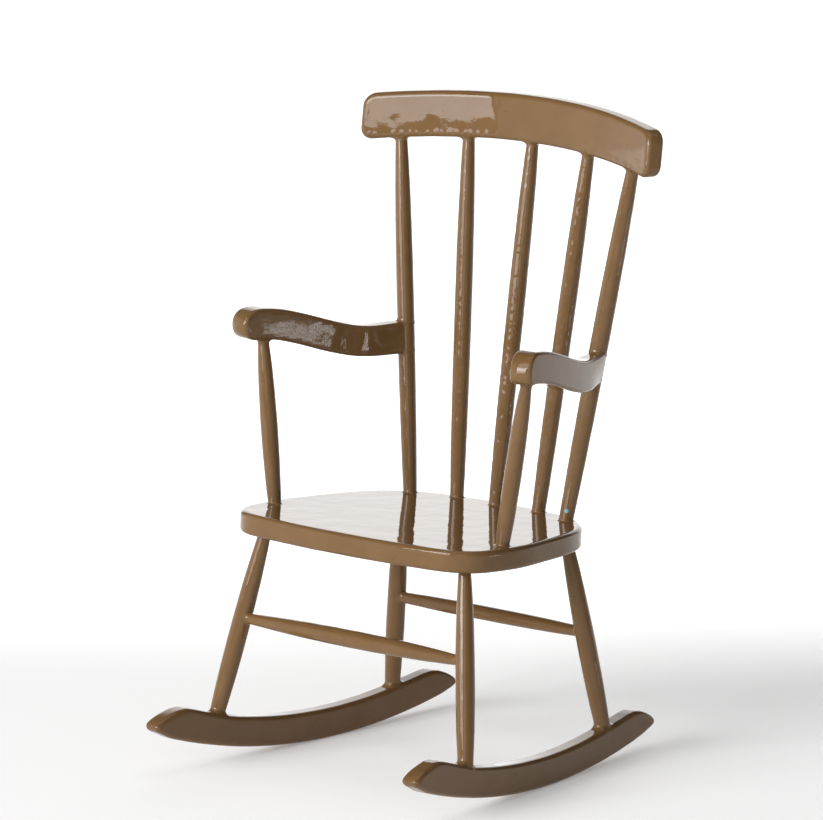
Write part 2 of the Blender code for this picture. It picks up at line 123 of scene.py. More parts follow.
# Turned pieces
ROUND = 40                  # points round a turned piece
RING_STEP = 0.5             # between its rings
RINGS_LEAST = 4
PROFILE_ORDER = 4           # of the curve drawn through its radii
FILLET_STEPS = 8
FILLET_TESTS = 12
FILLET_LEAST = 0.08
FILLET_TURN = 0.42          # cosine of the turn that a fillet follows over a neighbour's edge
FILLET_SINK = 0.02          # the fillet's rim lies this far under its neighbour's surface
FILLET_FALL = 6.0           # how far beyond its axis's meeting point a fillet looks for a surface
FILLET_SHARE = 0.92         # of the free spread that it takes on average
SPREAD_RIPPLE, RISE_RIPPLE = 0.16, 0.35     # how unevenly it spreads and climbs
RISE_LEAST = 0.5            # how high it climbs where it cannot spread, as a share of its rise
HEAD_SEED = 0.5             # how far the upper fillet's seed is from the lower one's
ROOT_DEPTH = 0.45           # how far the skirt of a fillet reaches into its neighbour
ROOT_SHARE = 0.7            # the skirt's radius there, as a share of the piece's
TOUCH = 0.003               # a distance this small counts as met
APPROACH_STEPS = 80
AXIS_FAR = 200.0            # longer than any turned piece
COLLAR = 0.55               # a post's small fillet against its arm
COLLAR_RISE = 1.3           # its height, against its spread
COLLAR_ROOM = 5.0           # how far before the arm the work on it starts
COLLAR_OVERLAP = 0.4        # how far it is carried on into the arm
COLLAR_STEPS, COLLAR_MARGIN = 8, 0.2    # its rings, and how far they go on past it
COLLAR_SEED = 3.3
NIB_REACH = 0.9             # length of the small bumps under the enamel
WAVE_REACH = 4.0            # length and height of the slow waves in it
WAVE_HEIGHT = 0.03
NIB_FADE, NIB_LEAST = 1.5, 0.1          # both fade over this length to this share at the joints
SEED_STEP = 1.7             # from one turned piece's seed to the next one's
# How much thicker than its metal the dipped enamel makes a spindle: foot, middle and head
SPINDLE_COAT = (0.12, 0.10, 0.22)
NEAR_POST_COAT = (0.18, 0.20, 0.28)
NO_COAT = (0.0, 0.0, 0.0)
# Heights of the small bumps
LEG_NIBS = 0.010
STRETCHER_NIBS = 0.008
ARM_POST_NIBS = 0.010
SPINDLE_NIBS = {
    "back_post_right": 0.010, "spindle_inner_right": 0.028, "spindle_centre": 0.055,
    "spindle_inner_left": 0.045, "back_post_left": 0.026,
}
# How far the enamel of an end spreads over its neighbour, and how far back it starts
LEG_FOOT = (1.5, 1.4)
LEG_HEAD = (0.5, 0.5)
STRETCHER_END = (0.5, 0.7)
ARM_POST_FOOT = (0.6, 0.5)
ARM_POST_HEAD = (1.5, 1.2)
SPINDLE_FOOT = (0.6, 0.5)
SPINDLE_HEAD = (1.9, 0.9)

# Enamel, as linear colours
ENAMEL_LIGHT = (0.162, 0.089, 0.036, 1.0)
ENAMEL_DARK = (0.141, 0.077, 0.030, 1.0)
ENAMEL_EDGE = (0.127, 0.067, 0.025, 1.0)
# Painted shade: the colour of the inner corners, where the enamel pools
ENAMEL_CORNER_SHADE = (0.083, 0.043, 0.016, 1.0)
ENAMEL_SPECK = (0.07, 0.04, 0.02, 1.0)
ENAMEL_GLOSS = (0.01, 0.045)            # its least and its most roughness
ENAMEL_IOR = 1.38
BLACK, WHITE = (0.0, 0.0, 0.0, 1.0), (1.0, 1.0, 1.0, 1.0)
# Clouds of noise: scale per metre, detail and roughness
TONE_CLOUD = (160.0, 4.0, 0.6)
SPECK_CLOUD = (1500.0, 2.0, 0.5)
GLOSS_CLOUD = (400.0, 3.0, 0.5)
BROAD_CLOUD = (330.0, 1.0, 0.5)
FINE_CLOUD = (1700.0, 2.0, 0.5)
# Where ramps begin and end: over noise, and over pointiness for edges and for inner corners, where
# shade is painted
TONE_RAMP = (0.3, 0.7)
SPECK_RAMP = (0.72, 0.78)
EDGE_RAMP = (0.51, 0.60)
CORNER_SHADE_RAMP = (0.40, 0.49)
# Bumps in the enamel: strength, and depth in metres
BROAD_BUMP = (0.25, 0.00009)
FINE_BUMP = (0.25, 0.000015)
MARK_BUMP = (1.0, 0.00004)
MARK_SIZE = (0.9, 1.5)                  # the print of a leg's head on the seat: radii of its rim
FLECK = (0.16, 0.36, 0.37, 1.0)
FLECK_RISE, FLECK_SIZE = 2.6, 0.6       # above the seat on the left back post, and its radius
FLECK_CORE = 0.7                        # of that radius, where its edge begins
FLECK_TURN = 14.0                       # degrees round the post, to the left as photographed

# Camera
CAMERA_LENS = 322.6
CAMERA_SENSOR = 36.0
CAMERA_CLIP = (0.1, 20.0)               # in metres
CAMERA_AZIMUTH = 40.31                  # in degrees
CAMERA_ELEVATION = 11.73
CAMERA_PLACE = (1067.6, -1260.0, 426.6)

# Studio. Bearings run from straight in front of the chair towards its left side, in degrees.
FLOOR_RADIUS, FLOOR_SEGMENTS = 3500.0, 96
FLOOR_ALBEDO, FLOOR_ROUGHNESS = 0.86, 0.9
# The floor glows like a light table, as painted light: its own radiance under the chair and behind it,
# and how far towards the backdrop the one begins to turn into the other and has done so
FLOOR_GLOW = (0.24, 0.9)
FLOOR_GLOW_REACH = (60.0, 280.0)
ROOM_RADIANCE = 0.06
HORIZON_RADIANCE = 0.45                 # a paler band low round the whole room
HORIZON_HEIGHT = (0.05, 0.22)           # sines of the elevations where it begins to fade, and ends
BACKDROP_RADIANCE = 2.0
BACKDROP_BEARING = 215.0
BACKDROP_RISE = 0.1                     # tangent of the elevation of its middle
BACKDROP_EDGE = (0.80, 0.93)            # how nearly towards it, where it begins and where it is full
# Standing softboxes: bearing, distance, width, bottom, top, roll in degrees, radiance
SOFTBOXES = {
    "window_low": (-10.0, 2500.0, 1625.0, 300.0, 590.0, 0.5, 6.3),
    "window_bright": (-10.0, 2500.0, 1625.0, 590.0, 1415.0, 0.0, 15.0),
    "window_high": (-10.0, 2500.0, 1625.0, 1415.0, 2900.0, 0.0, 3.5),
    "fill_right": (32.0, 1100.0, 520.0, 180.0, 900.0, 0.0, 1.5),
    "fill_left": (-60.0, 1100.0, 1250.0, 60.0, 760.0, 0.0, 0.85),
}
TOP_PLACE, TOP_HEIGHT, TOP_SIZE, TOP_RADIANCE = (0.0, 60.0), 1200.0, 900.0, 0.8
# The disc of light on the floor: its middle, its lamp's height, its radius, and its brightness
POOL_PLACE, POOL_HEIGHT, POOL_REACH, POOL_RADIANCE = (404.0, 153.0), 1000.0, 54.0, 4.5
POOL_BLEND, POOL_LAMP = 0.15, 2.0       # softness of its edge, and its lamp's radius


# ---------------------------------------------------------------- reading the frame

def welded(node):
    """A CAD node's mesh in millimetres, with its split vertices joined."""
    mesh = bmesh.new()
    mesh.from_mesh(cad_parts[node].data)
    bmesh.ops.scale(mesh, vec=(1 / MM,) * 3, verts=mesh.verts)
    bmesh.ops.remove_doubles(mesh, verts=mesh.verts, dist=WELD_REACH)
    mesh.normal_update()
    return mesh


def node_box(node):
    low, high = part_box(node)
    return low / MM, high / MM


def broadest_normal(mesh, wanted):
    """The normal that most of a mesh's surface has, among those that are wanted."""
    areas = {}
    for face in mesh.faces:
        key = tuple(round(n, 3) for n in face.normal)
        areas[key] = areas.get(key, 0.0) + face.calc_area()
    return Vector(max(filter(wanted, areas), key=areas.get)).normalized()


def section(node, axis, place):
    """The points where a plane across one axis cuts a CAD node."""
    mesh = welded(node)
    normal = [0.0, 0.0, 0.0]
    normal[axis] = 1.0
    point = [n * place for n in normal]
    cut = bmesh.ops.bisect_plane(
        mesh, geom=mesh.verts[:] + mesh.edges[:] + mesh.faces[:], plane_co=point, plane_no=normal,
    )["geom_cut"]
    found = np.array([v.co for v in cut if isinstance(v, bmesh.types.BMVert)])
    mesh.free()
    return found


def turned_profile(node):
    """A turned node's lower end, its axis upwards, and its body as (distance, radius) pairs."""
    mesh = welded(node)
    points = np.array([v.co for v in mesh.verts])
    mesh.free()
    axis = np.linalg.svd(points - points.mean(0), full_matrices=False)[2][0]
    upright = axis[np.argmax(np.abs(axis))] > 0
    axis = axis if upright else -axis
    for _ in range(AXIS_PASSES):        # the ends' own centres correct what the sockets pull askew
        along = points @ axis
        low = points[along < along.min() + END_SLICE].mean(0)
        high = points[along > along.max() - END_SLICE].mean(0)
        axis = (high - low) / np.linalg.norm(high - low)
    along = (points - low) @ axis
    away = np.linalg.norm(points - low - np.outer(along, axis), axis=1)
    rings = []
    for place in np.unique(np.round(along, 1)):
        members = np.abs(along - place) < RING_SLICE
        if members.sum() >= RING_LEAST:
            rings.append((along[members].mean(), away[members].max()))
    tenon = away[np.abs(along - along.min()) < END_SLICE].max()
    body = [ring for ring in rings if ring[1] > tenon + TENON_STEP]
    return Vector(low), Vector(axis), body


# ---------------------------------------------------------------- smooth outlines

def smoothstep(share):
    """Eases a share between nought and one at both ends."""
    return share * share * (3 - 2 * share)


def resampled(points, count):
    """A closed outline at even steps."""
    points = np.asarray(points, float)
    loop = np.vstack([points, points[:1]])
    lengths = np.concatenate([[0.0], np.cumsum(np.linalg.norm(np.diff(loop, axis=0), axis=1))])
    at = np.linspace(0.0, lengths[-1], count, endpoint=False)
    return np.column_stack([np.interp(at, lengths, loop[:, i]) for i in range(2)])


def softened(points, reach):
    """A closed, evenly spaced outline averaged over a stretch given in millimetres."""
    step = np.linalg.norm(points[1] - points[0])
    count = len(points)
    offsets = np.fft.fftfreq(count, d=1.0 / count) * step
    kernel = np.exp(-0.5 * (offsets / reach) ** 2)
    kernel /= kernel.sum()
    spread = np.fft.fft(kernel)
    return np.column_stack([np.fft.ifft(np.fft.fft(points[:, i]) * spread).real for i in range(2)])


def outward_normals(points):
    """Unit normals of a closed outline that runs anticlockwise."""
    run = np.roll(points, -1, 0) - np.roll(points, 1, 0)
    run /= np.linalg.norm(run, axis=1)[:, None]
    return np.column_stack([run[:, 1], -run[:, 0]])


def anticlockwise(points):
    x, y = points[:, 0], points[:, 1]
    area = np.sum(x * np.roll(y, -1) - y * np.roll(x, -1))
    return points if area > 0 else points[::-1]


def hull(points):
    """Convex hull of points in a plane, anticlockwise."""
    order = sorted(map(tuple, np.round(points, 4)))

    def half(run):
        chain = []
        for p in run:
            while len(chain) > 1 and (
                (chain[-1][0] - chain[-2][0]) * (p[1] - chain[-2][1])
                - (chain[-1][1] - chain[-2][1]) * (p[0] - chain[-2][0])
            ) <= 0:
                chain.pop()
            chain.append(p)
        return chain[:-1]

    return np.array(half(order) + half(order[::-1]))


def rounded_box(length, height, radius):
    """A rectangle about the origin with round corners, as an outline."""
    points = []
    for sx, sy, start in ((1, 1, 0), (-1, 1, 90), (-1, -1, 180), (1, -1, 270)):
        centre = (sx * (length / 2 - radius), sy * (height / 2 - radius))
        for turn in np.radians(np.linspace(start, start + 90, CORNER_STEPS)):
            x, y = centre[0] + radius * math.cos(turn), centre[1] + radius * math.sin(turn)
            points.append((x, y))
    return np.array(points)


# ---------------------------------------------------------------- slabs

def inset_rings(outline, insets):
    """An outline moved inwards step by step. A little smoothing keeps tight corners from crossing."""
    rings = [outline]
    for step in np.diff(insets):
        ring = rings[-1] - outward_normals(rings[-1]) * step
        rings.append((np.roll(ring, 1, 0) + 6 * ring + np.roll(ring, -1, 0)) / 8)
    return rings


def slab(outline, thickness, edge, place, swell=0.0, cut=1.0):
    """A plate with rounded edges: an outline in (u, v), thickened along w, then put in place.

    swell is how much thicker the enamel lies along the middle of the plate's faces, and cut is
    the size of the faces that the plate is divided into.
    """
    outline = anticlockwise(np.asarray(outline, float))
    half = thickness / 2
    angles = np.linspace(0.0, math.pi / 2, EDGE_STEPS + 1)
    insets = inset_rings(outline, edge * (1.0 - np.cos(angles)))
    depths = half - edge + edge * np.sin(angles)
    wall = np.linspace(depths[0], -depths[0], WALL_RINGS + 2)[1:-1]
    levels = list(zip(insets[::-1], depths[::-1]))
    levels += [(insets[0], depth) for depth in wall]
    levels += list(zip(insets, -depths))
    mesh = bmesh.new()
    rings = [[mesh.verts.new((u, v, depth)) for u, v in ring] for ring, depth in levels]
    count = len(outline)
    for upper, lower in zip(rings, rings[1:]):
        for i in range(count):
            j = (i + 1) % count
            mesh.faces.new((upper[i], lower[i], lower[j], upper[j]))
    mesh.faces.new(rings[0])
    mesh.faces.new(rings[-1][::-1])
    low, high = outline.min(0), outline.max(0)
    for axis in (0, 1):
        steps = int((high[axis] - low[axis]) / cut)
        for i in range(1, steps + 1):
            normal = Vector((0.0, 0.0, 0.0))
            normal[axis] = 1.0
            bmesh.ops.bisect_plane(
                mesh, geom=mesh.verts[:] + mesh.edges[:] + mesh.faces[:], dist=CUT_REACH,
                plane_co=normal * (low[axis] + (high[axis] - low[axis]) * i / (steps + 1)),
                plane_no=normal,
            )
    middle, reach = (low[1] + high[1]) / 2, (high[1] - low[1]) / 2
    for vert in mesh.verts:
        u, v, w = vert.co
        domed = swell * (1.0 - ((v - middle) / reach) ** 2) * w / half
        vert.co = Vector(place(u, v, w + domed))
    bmesh.ops.recalc_face_normals(mesh, faces=mesh.faces)
    return mesh


def unevenness(mesh, height, reach, seed):
    """Lets a coat of enamel lie a little thicker here and thinner there."""
    mesh.normal_update()
    shift = Vector([seed * step for step in WAVE_SEED_STEP])
    moves = []
    for vert in mesh.verts:
        here = vert.co / reach + shift
        swell = noise.noise(here) + RIPPLE_HEIGHT * noise.noise(here * RIPPLE_SCALE + shift)
        moves.append(vert.normal * (height * swell))
    for vert, move in zip(mesh.verts, moves):
        vert.co += move


def new_object(name, data):
    made = bpy.data.objects.new(name, data)
    bpy.context.scene.collection.objects.link(made)
    return made


def finished(name, mesh, material):
    """Makes the finished piece that stands for a CAD node. The mesh comes in millimetres."""
    bmesh.ops.scale(mesh, vec=(MM,) * 3, verts=mesh.verts)
    data = bpy.data.meshes.new(name + "_enamelled")
    mesh.to_mesh(data)
    mesh.free()
    data.shade_smooth()
    piece = new_object(name + "_enamelled", data)
    data.materials.append(material)
    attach(piece, "root")
    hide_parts(name)


# ---------------------------------------------------------------- seat

class Seat:
    """Where the seat's slab lies, and its outline, both read from its node."""

    def __init__(self):
        mesh = welded("seat")
        up = broadest_normal(mesh, lambda normal: normal[2] > MOSTLY)
        points = [v.co.copy() for v in mesh.verts]
        mesh.free()
        self.up = up
        self.front = Vector((1.0, 0.0, 0.0)).cross(up)
        heights = [p.dot(up) for p in points]
        self.top, self.bottom = max(heights), min(heights)
        self.middle = (self.top + self.bottom) / 2
        flat = hull(np.array([(p.x, p.dot(self.front)) for p in points]))
        self.outline = softened(resampled(flat, SEAT_POINTS), SEAT_SOFT)

    def place(self, u, v, w):
        return Vector((u, 0.0, 0.0)) + self.front * v + self.up * (self.middle + w)


def make_seat():
    seat = Seat()
    made = slab(seat.outline, seat.top - seat.bottom, SEAT_EDGE, seat.place)
    unevenness(made, *SEAT_WAVES, seed=1)
    return made


# ---------------------------------------------------------------- rockers

def side_loop(mesh, outward):
    """The edge of a slab's flat side face, in order."""
    flat = {f for f in mesh.faces if f.normal.dot(outward) > FLAT_FACE}
    rim = [e for e in mesh.edges if sum(f in flat for f in e.link_faces) == 1]
    follow = {}
    for edge in rim:
        a, b = edge.verts
        follow.setdefault(a, []).append(b)
        follow.setdefault(b, []).append(a)
    start = here = rim[0].verts[0]
    before, loop = None, []
    while True:
        loop.append(here.co.copy())
        ahead = follow[here][0] if follow[here][0] is not before else follow[here][1]
        before, here = here, ahead
        if here is start:
            return loop


def make_rocker(name, side):
    """A rocker along its node's side face, crisp at its ends and smooth between them."""
    mesh = welded(name)
    outward = broadest_normal(mesh, lambda normal: normal[0] * side > MOSTLY)
    loop = side_loop(mesh, outward)
    depths = [v.co.dot(outward) for v in mesh.verts]
    mesh.free()
    outer, inner = max(depths), min(depths)
    back = Vector((-outward.y, outward.x, 0.0)) * side
    flat = anticlockwise(np.array([(p.dot(back), p.z) for p in loop]))
    bevel = min(p.z for p in loop)      # the rocker stands on the floor, its side face does not
    even = resampled(flat, ROCKER_WORK_POINTS)
    even = even + outward_normals(softened(even, ROCKER_NORMAL_SOFT)) * bevel
    even = resampled(even, ROCKER_WORK_POINTS)
    fine, broad = softened(even, ROCKER_END_SOFT), softened(even, ROCKER_SOFT)
    low, high = even[:, 0].min(), even[:, 0].max()
    from_end = np.minimum(even[:, 0] - low, high - even[:, 0])
    share = smoothstep(np.clip((from_end - ROCKER_END) / ROCKER_CHANGE, 0.0, 1.0)[:, None])
    outline = fine * (1 - share) + broad * share
    middle = (outer + inner) / 2

    def place(u, v, w):
        return back * u + outward * (middle + w) + Vector((0.0, 0.0, v))

    made = slab(resampled(outline, ROCKER_POINTS), outer - inner, ROCKER_EDGE, place)
    unevenness(made, *ROCKER_WAVES, seed=2 + side)
    return made


# ---------------------------------------------------------------- crest rail

def make_crest():
    """The rail's bend, arch and lean are measured on its node between the spindles' sockets."""
    low, high = node_box("crest_rail")
    mesh = welded("crest_rail")
    tree = BVHTree.FromBMesh(mesh)
    mesh.free()

    def hit(origin, direction):
        return tree.ray_cast(Vector(origin), Vector(direction))[0]

    stations = np.array(CREST_STATIONS)
    level, spans = (low.z + high.z) / 2, (-CREST_SPAN, CREST_SPAN)
    rows = []
    for x in stations:
        front = [hit((x, -CREST_FAR, level + span), (0, 1, 0)).y for span in spans]
        back = [hit((x, CREST_FAR, level + span), (0, -1, 0)).y for span in spans]
        middle = (sum(front) + sum(back)) / 4
        top = hit((x, middle + CREST_SHIFT, CREST_FAR), (0, 0, -1)).z
        bottom = hit((x, middle - CREST_SHIFT, -CREST_FAR), (0, 0, 1)).z
        lean = (front[1] - front[0] + back[1] - back[0]) / (4 * CREST_SPAN)
        depth = (sum(back) - sum(front)) / 2
        rows.append((middle, top, bottom, lean, depth))
    rows = np.array(rows)
    bend, upper, lower = (np.polyfit(stations, rows[:, i], CREST_ORDER) for i in range(3))
    lean = rows[:, 3].mean()
    slope = np.polyder(bend)
    turn = np.arctan(np.polyval(slope, stations))
    thickness = float((rows[:, 4] * np.cos(turn)).mean())

    length = 2 * (high.x - CREST_ROOM)
    height = float(np.polyval(upper, 0) - np.polyval(lower, 0))
    outline = resampled(rounded_box(length, height, CREST_CORNER), CREST_POINTS)
    above, wide, deep, pitch = CREST_SAGS

    def place(u, v, w):
        bottom, top = np.polyval(lower, u), np.polyval(upper, u)
        z = (bottom + top) / 2 + v * (top - bottom) / height
        angle = math.atan(np.polyval(slope, u))
        y = np.polyval(bend, u) + lean * (z - level)
        if w < 0:
            here = math.exp(-((v + height / 2 - above) / wide) ** 2)
            w -= deep * here * max(0.0, noise.noise(Vector((u / pitch, 0.0, SAG_SEED))))
        return u - w * math.sin(angle), y + w * math.cos(angle), z

    made = slab(outline, thickness, CREST_EDGE, place, CREST_SWELL, CREST_CUT)
    unevenness(made, *CREST_WAVES, seed=5)
    return made


# ---------------------------------------------------------------- arms

def nose_profile(reach, distance):
    """How much of its full height an arm's end has at a distance from the tip."""
    return math.sqrt(max(0.0, 1.0 - max(0.0, 1.0 - distance / reach) ** 2))


def make_arm(name, nose):
    """An arm through the sections of its node, run on round the back post that it meets."""
    low, high = node_box(name)
    post_low, post_axis, post_body = turned_profile(name.replace("arm", "back_post"))
    stations = np.linspace(low.y + ARM_ENDS[0], high.y - ARM_ENDS[1], ARM_STATIONS)
    rows = []
    for y in stations:
        points = section(name, 1, y)
        centre = (points.max(0) + points.min(0)) / 2
        size = points.max(0) - points.min(0)
        rows.append((centre[0], centre[2], size[0], size[2]))
    rows = np.array(rows)
    plan = np.polyfit(stations, rows[:, 0], ARM_ORDER)
    plan_slope = np.polyder(plan)
    turn = np.arctan(np.polyval(plan_slope, stations))
    width = np.polyfit(stations, rows[:, 2] * np.cos(turn), 1)
    half_height = rows[:, 3].min() / 2 + ARM_THICKER / 2
    rows[:, 1] += ARM_THICKER / 2

    level = rows[-1, 1]
    grade = post_axis / post_axis.z
    post = post_low + grade * (level - post_low.z)
    radius = max(r for _, r in post_body)
    outward = math.copysign(1.0, post.x)
    turned = math.cos(math.atan(np.polyval(plan_slope, post.y)))
    tip, upper_reach, lower_reach, front = nose
    front += low.y
    back = post.y + ARM_END * radius * turned
    nominal = float(np.polyval(width, front))

    angles = np.radians(np.linspace(0.0, 90.0, NOSE_POINTS))
    ease = (1.0 - np.cos(angles)) * max(upper_reach, lower_reach)
    rest = np.linspace(front + ease[-1], back, ARM_SPINE_POINTS)[1:]
    spine = np.concatenate([front + ease, rest])
    middles = np.interp(spine, stations, rows[:, 1])
    halves = half_height * np.sqrt(1.0 + np.gradient(middles, spine) ** 2)
    above = np.array([nose_profile(upper_reach, u - front) for u in spine])
    below = np.array([nose_profile(lower_reach, u - front) for u in spine])
    upper = np.column_stack([spine, middles + halves * (tip + (1 - tip) * above)])
    lower = np.column_stack([spine, middles + halves * (tip - (1 + tip) * below)])
    outline = softened(resampled(np.vstack([lower[1:], upper[::-1]]), ARM_POINTS), ARM_SOFT)

    def place(u, v, w):
        near = max(0.0, 1.0 - (u - front) / NOSE_REACH)
        u += NOSE_DOME * (2 * w / nominal) ** 2 * near ** 2
        share = smoothstep(min(1.0, max(0.0, (u - post.y) / ARM_BLEND + 1.0)))
        beyond = max(0.0, u - post.y) / (radius * turned)
        wrap = ARM_WRAP[0] if w * outward > 0 else ARM_WRAP[1]
        plain = float(np.polyval(width, u)) / 2 - ARM_SLIM
        half = plain * (1 - share) + (radius + wrap) * share
        across = w / (nominal / 2) * half * math.sqrt(max(0.0, 1.0 - beyond ** 2))
        angle = math.atan(np.polyval(plan_slope, u))
        rise = (v - level) * share
        x = np.polyval(plan, u) + (post.x - np.polyval(plan, post.y) + grade.x * rise) * share
        return x + across * math.cos(angle), u + grade.y * rise - across * math.sin(angle), v

    made = slab(outline, nominal, ARM_EDGE, place)
    unevenness(made, *ARM_WAVES, seed=8 + len(name))
    unevenness(made, *ARM_FINE_WAVES, seed=3 + len(name))
    return made


# ---------------------------------------------------------------- turned pieces

class Joint:
    """How enamel flows from the end of a turned piece on to its neighbour."""

    def __init__(self, tree, spread, rise):
        self.tree, self.spread, self.rise = tree, spread, rise


def approach(tree, start, direction, gap, limit):
    """How far to go along a direction until a surface is only a gap away, and its normal there."""
    along = 0.0
    for _ in range(APPROACH_STEPS):
        _, normal, _, distance = tree.find_nearest(start + direction * along)
        if distance - gap < TOUCH:
            return along, normal
        along += distance - gap
        if along > limit:
            break
    return None, None


def free_spreads(origin, direction, sideways, base, depth, facing, joint):
    """How far a fillet can spread each way before its neighbour ends or turns away from it."""
    limit = depth + FILLET_FALL
    spreads = []
    for side in sideways:
        widest = FILLET_LEAST
        for k in range(1, FILLET_TESTS + 1):
            reach = joint.spread * k / FILLET_TESTS
            start = origin + side * (base + reach)
            at, normal = approach(joint.tree, start, direction, 0.0, limit)
            if at is None or normal.dot(facing) < FILLET_TURN:
                break
            widest = max(widest, reach)
        spreads.append(widest)
    spreads = np.array(spreads)
    for _ in range(2):
        spreads = (np.roll(spreads, 1) + 2 * spreads + np.roll(spreads, -1)) / 4
    return spreads


def fillet(origin, direction, sideways, radius_at, joint, seed):
    """Rings of a fillet, from the turned piece's own side out to its neighbour's surface.

    origin lies on the axis inside the piece, direction points at the neighbour, and sideways holds
    the unit vectors round the axis. The last ring is a skirt that reaches into the neighbour.
    """
    depth, facing = approach(joint.tree, origin, direction, 0.0, AXIS_FAR)
    limit = depth + FILLET_FALL
    base = radius_at(origin + direction * depth)
    spreads = free_spreads(origin, direction, sideways, base, depth, facing, joint)
    rings = [[] for _ in range(FILLET_STEPS + 2)]
    for i, side in enumerate(sideways):
        turn = 2 * math.pi * i / len(sideways)
        ripple = noise.noise(Vector((math.cos(turn), math.sin(turn), seed)))
        spread = spreads[i] * (FILLET_SHARE + SPREAD_RIPPLE * ripple)
        fullness = RISE_LEAST + (1 - RISE_LEAST) * min(1.0, spread / joint.spread)
        rise = joint.rise * fullness * (1.0 + RISE_RIPPLE * ripple)
        last = depth
        for k in range(FILLET_STEPS + 1):
            turn = math.pi / 2 * k / FILLET_STEPS
            gap = rise * (1.0 - math.sin(turn))
            at = last
            for _ in range(2):
                reach = radius_at(origin + direction * at) + spread * (1.0 - math.cos(turn))
                found, _ = approach(joint.tree, origin + side * reach, direction, gap, limit)
                at = at if found is None else found
            last = at
            sink = FILLET_SINK if k == FILLET_STEPS else 0.0
            rings[k].append(origin + side * reach + direction * (at + sink))
        inner = origin + side * base * ROOT_SHARE + direction * (depth + ROOT_DEPTH)
        rings[FILLET_STEPS + 1].append(inner)
    return rings


def collar(low, axis, sideways, radius_at, tree, up):
    """The small fillet of a post against an arm that it runs through.

    For each way round the axis it gives rising distances along the axis, and the radii there.
    """
    start = low + axis * (0.0 if up else AXIS_FAR)
    direction = axis if up else -axis
    order = 1 if up else -1
    depth = tree.ray_cast(start, direction)[3]
    origin = start + direction * (depth - COLLAR_ROOM)
    joint = Joint(tree, COLLAR, COLLAR * COLLAR_RISE)
    rings = fillet(origin, direction, sideways, radius_at, joint, COLLAR_SEED)
    table = []
    for i in range(len(sideways)):
        points = [ring[i] for ring in rings[:-1]]
        alongs = [(point - low).dot(axis) for point in points]
        radii = [(point - low - axis * along).length for point, along in zip(points, alongs)]
        alongs.append(alongs[-1] + COLLAR_OVERLAP * order)
        radii.append(radii[-1])
        table.append((alongs[::order], radii[::order]))
    return table


def tube(rings):
    """A closed skin over rings that all have the same number of points."""
    mesh = bmesh.new()
    grid = [[mesh.verts.new(point) for point in ring] for ring in rings]
    for a, b in zip(grid, grid[1:]):
        for i in range(len(a)):
            j = (i + 1) % len(a)
            mesh.faces.new((a[i], a[j], b[j], b[i]))
    mesh.faces.new(grid[0][::-1])
    mesh.faces.new(grid[-1])
    bmesh.ops.recalc_face_normals(mesh, faces=mesh.faces)
    mesh.normal_update()
    return mesh


def make_turned(node, foot, head, nibs, seed, arm=None, coat=NO_COAT):
    """A turned piece along its node's axis, with its profile drawn through smoothly."""
    low, axis, body = turned_profile(node)
    places = np.array([place for place, _ in body])
    radii = np.array([radius for _, radius in body])
    radii = radii + np.interp(places, (places[0], places.mean(), places[-1]), coat)
    curve = np.polyfit(places, radii, PROFILE_ORDER)
    middle = low + axis * float(places.mean())
    across = axis.orthogonal().normalized()
    other = axis.cross(across)
    turns = [2 * math.pi * i / ROUND for i in range(ROUND)]
    sideways = [across * math.cos(t) + other * math.sin(t) for t in turns]

    def radius_at(point):
        along = (point - low).dot(axis)
        return float(np.polyval(curve, min(max(along, places[0]), places[-1])))

    lower = fillet(middle, -axis, sideways, radius_at, foot, seed)
    upper = fillet(middle, axis, sideways, radius_at, head, seed + HEAD_SEED)
    start = max((p - low).dot(axis) for p in lower[0]) + RING_STEP / 2
    end = min((p - low).dot(axis) for p in upper[0]) - RING_STEP / 2
    count = max(RINGS_LEAST, int((end - start) / RING_STEP))
    steps = list(np.linspace(start, end, count))
    ways = (True, False) if arm else ()
    collars = [collar(low, axis, sideways, radius_at, arm, up) for up in ways]
    for table in collars:
        ends = [along for alongs, _ in table for along in alongs]
        first, last = min(ends) - COLLAR_MARGIN, max(ends) + COLLAR_MARGIN
        steps += list(np.arange(first, last, COLLAR / COLLAR_STEPS))
    rings = lower[::-1]
    for along in sorted(steps):
        centre = low + axis * along
        radius = radius_at(centre)
        into = min((along - start) / NIB_FADE + NIB_LEAST, (end - along) / NIB_FADE + NIB_LEAST)
        fade = min(1.0, into)
        ring = []
        for i, side in enumerate(sideways):
            here = centre + side * radius
            bump = noise.noise(here / NIB_REACH + Vector((seed, 0.0, 0.0)))
            wave = noise.noise(here / WAVE_REACH + Vector((0.0, seed, 0.0)))
            reach = radius + fade * (nibs * bump + WAVE_HEIGHT * wave)
            for table in collars:
                alongs, reaches = table[i]
                if min(alongs) <= along <= max(alongs):
                    reach = max(reach, float(np.interp(along, alongs, reaches)))
            ring.append(centre + side * reach)
        rings.append(ring)
    return tube(rings + upper)


# ---------------------------------------------------------------- shader nodes

def cloud(tree, source, scale, detail, roughness):
    """Noise over the points of a source."""
    made = tree.nodes.new("ShaderNodeTexNoise")
    made.inputs["Scale"].default_value = scale
    made.inputs["Detail"].default_value = detail
    made.inputs["Roughness"].default_value = roughness
    tree.links.new(source, made.inputs["Vector"])
    return made.outputs["Fac"]


def ramp(tree, source, stops, first, last):
    """One colour up to the first stop, another from the second one, and a blend between them."""
    made = tree.nodes.new("ShaderNodeValToRGB")
    for element, stop, colour in zip(made.color_ramp.elements, stops, (first, last)):
        element.position = stop
        element.color = colour
    tree.links.new(source, made.inputs["Fac"])
    return made.outputs["Color"]


def mixed(tree, factor, colour, other):
    """The other colour, which is a plain one, laid over a colour as far as the factor says."""
    made = tree.nodes.new("ShaderNodeMix")
    made.data_type = "RGBA"
    tree.links.new(factor, made.inputs["Factor"])
    tree.links.new(colour, made.inputs["A"])
    made.inputs["B"].default_value = other
    return made.outputs["Result"]


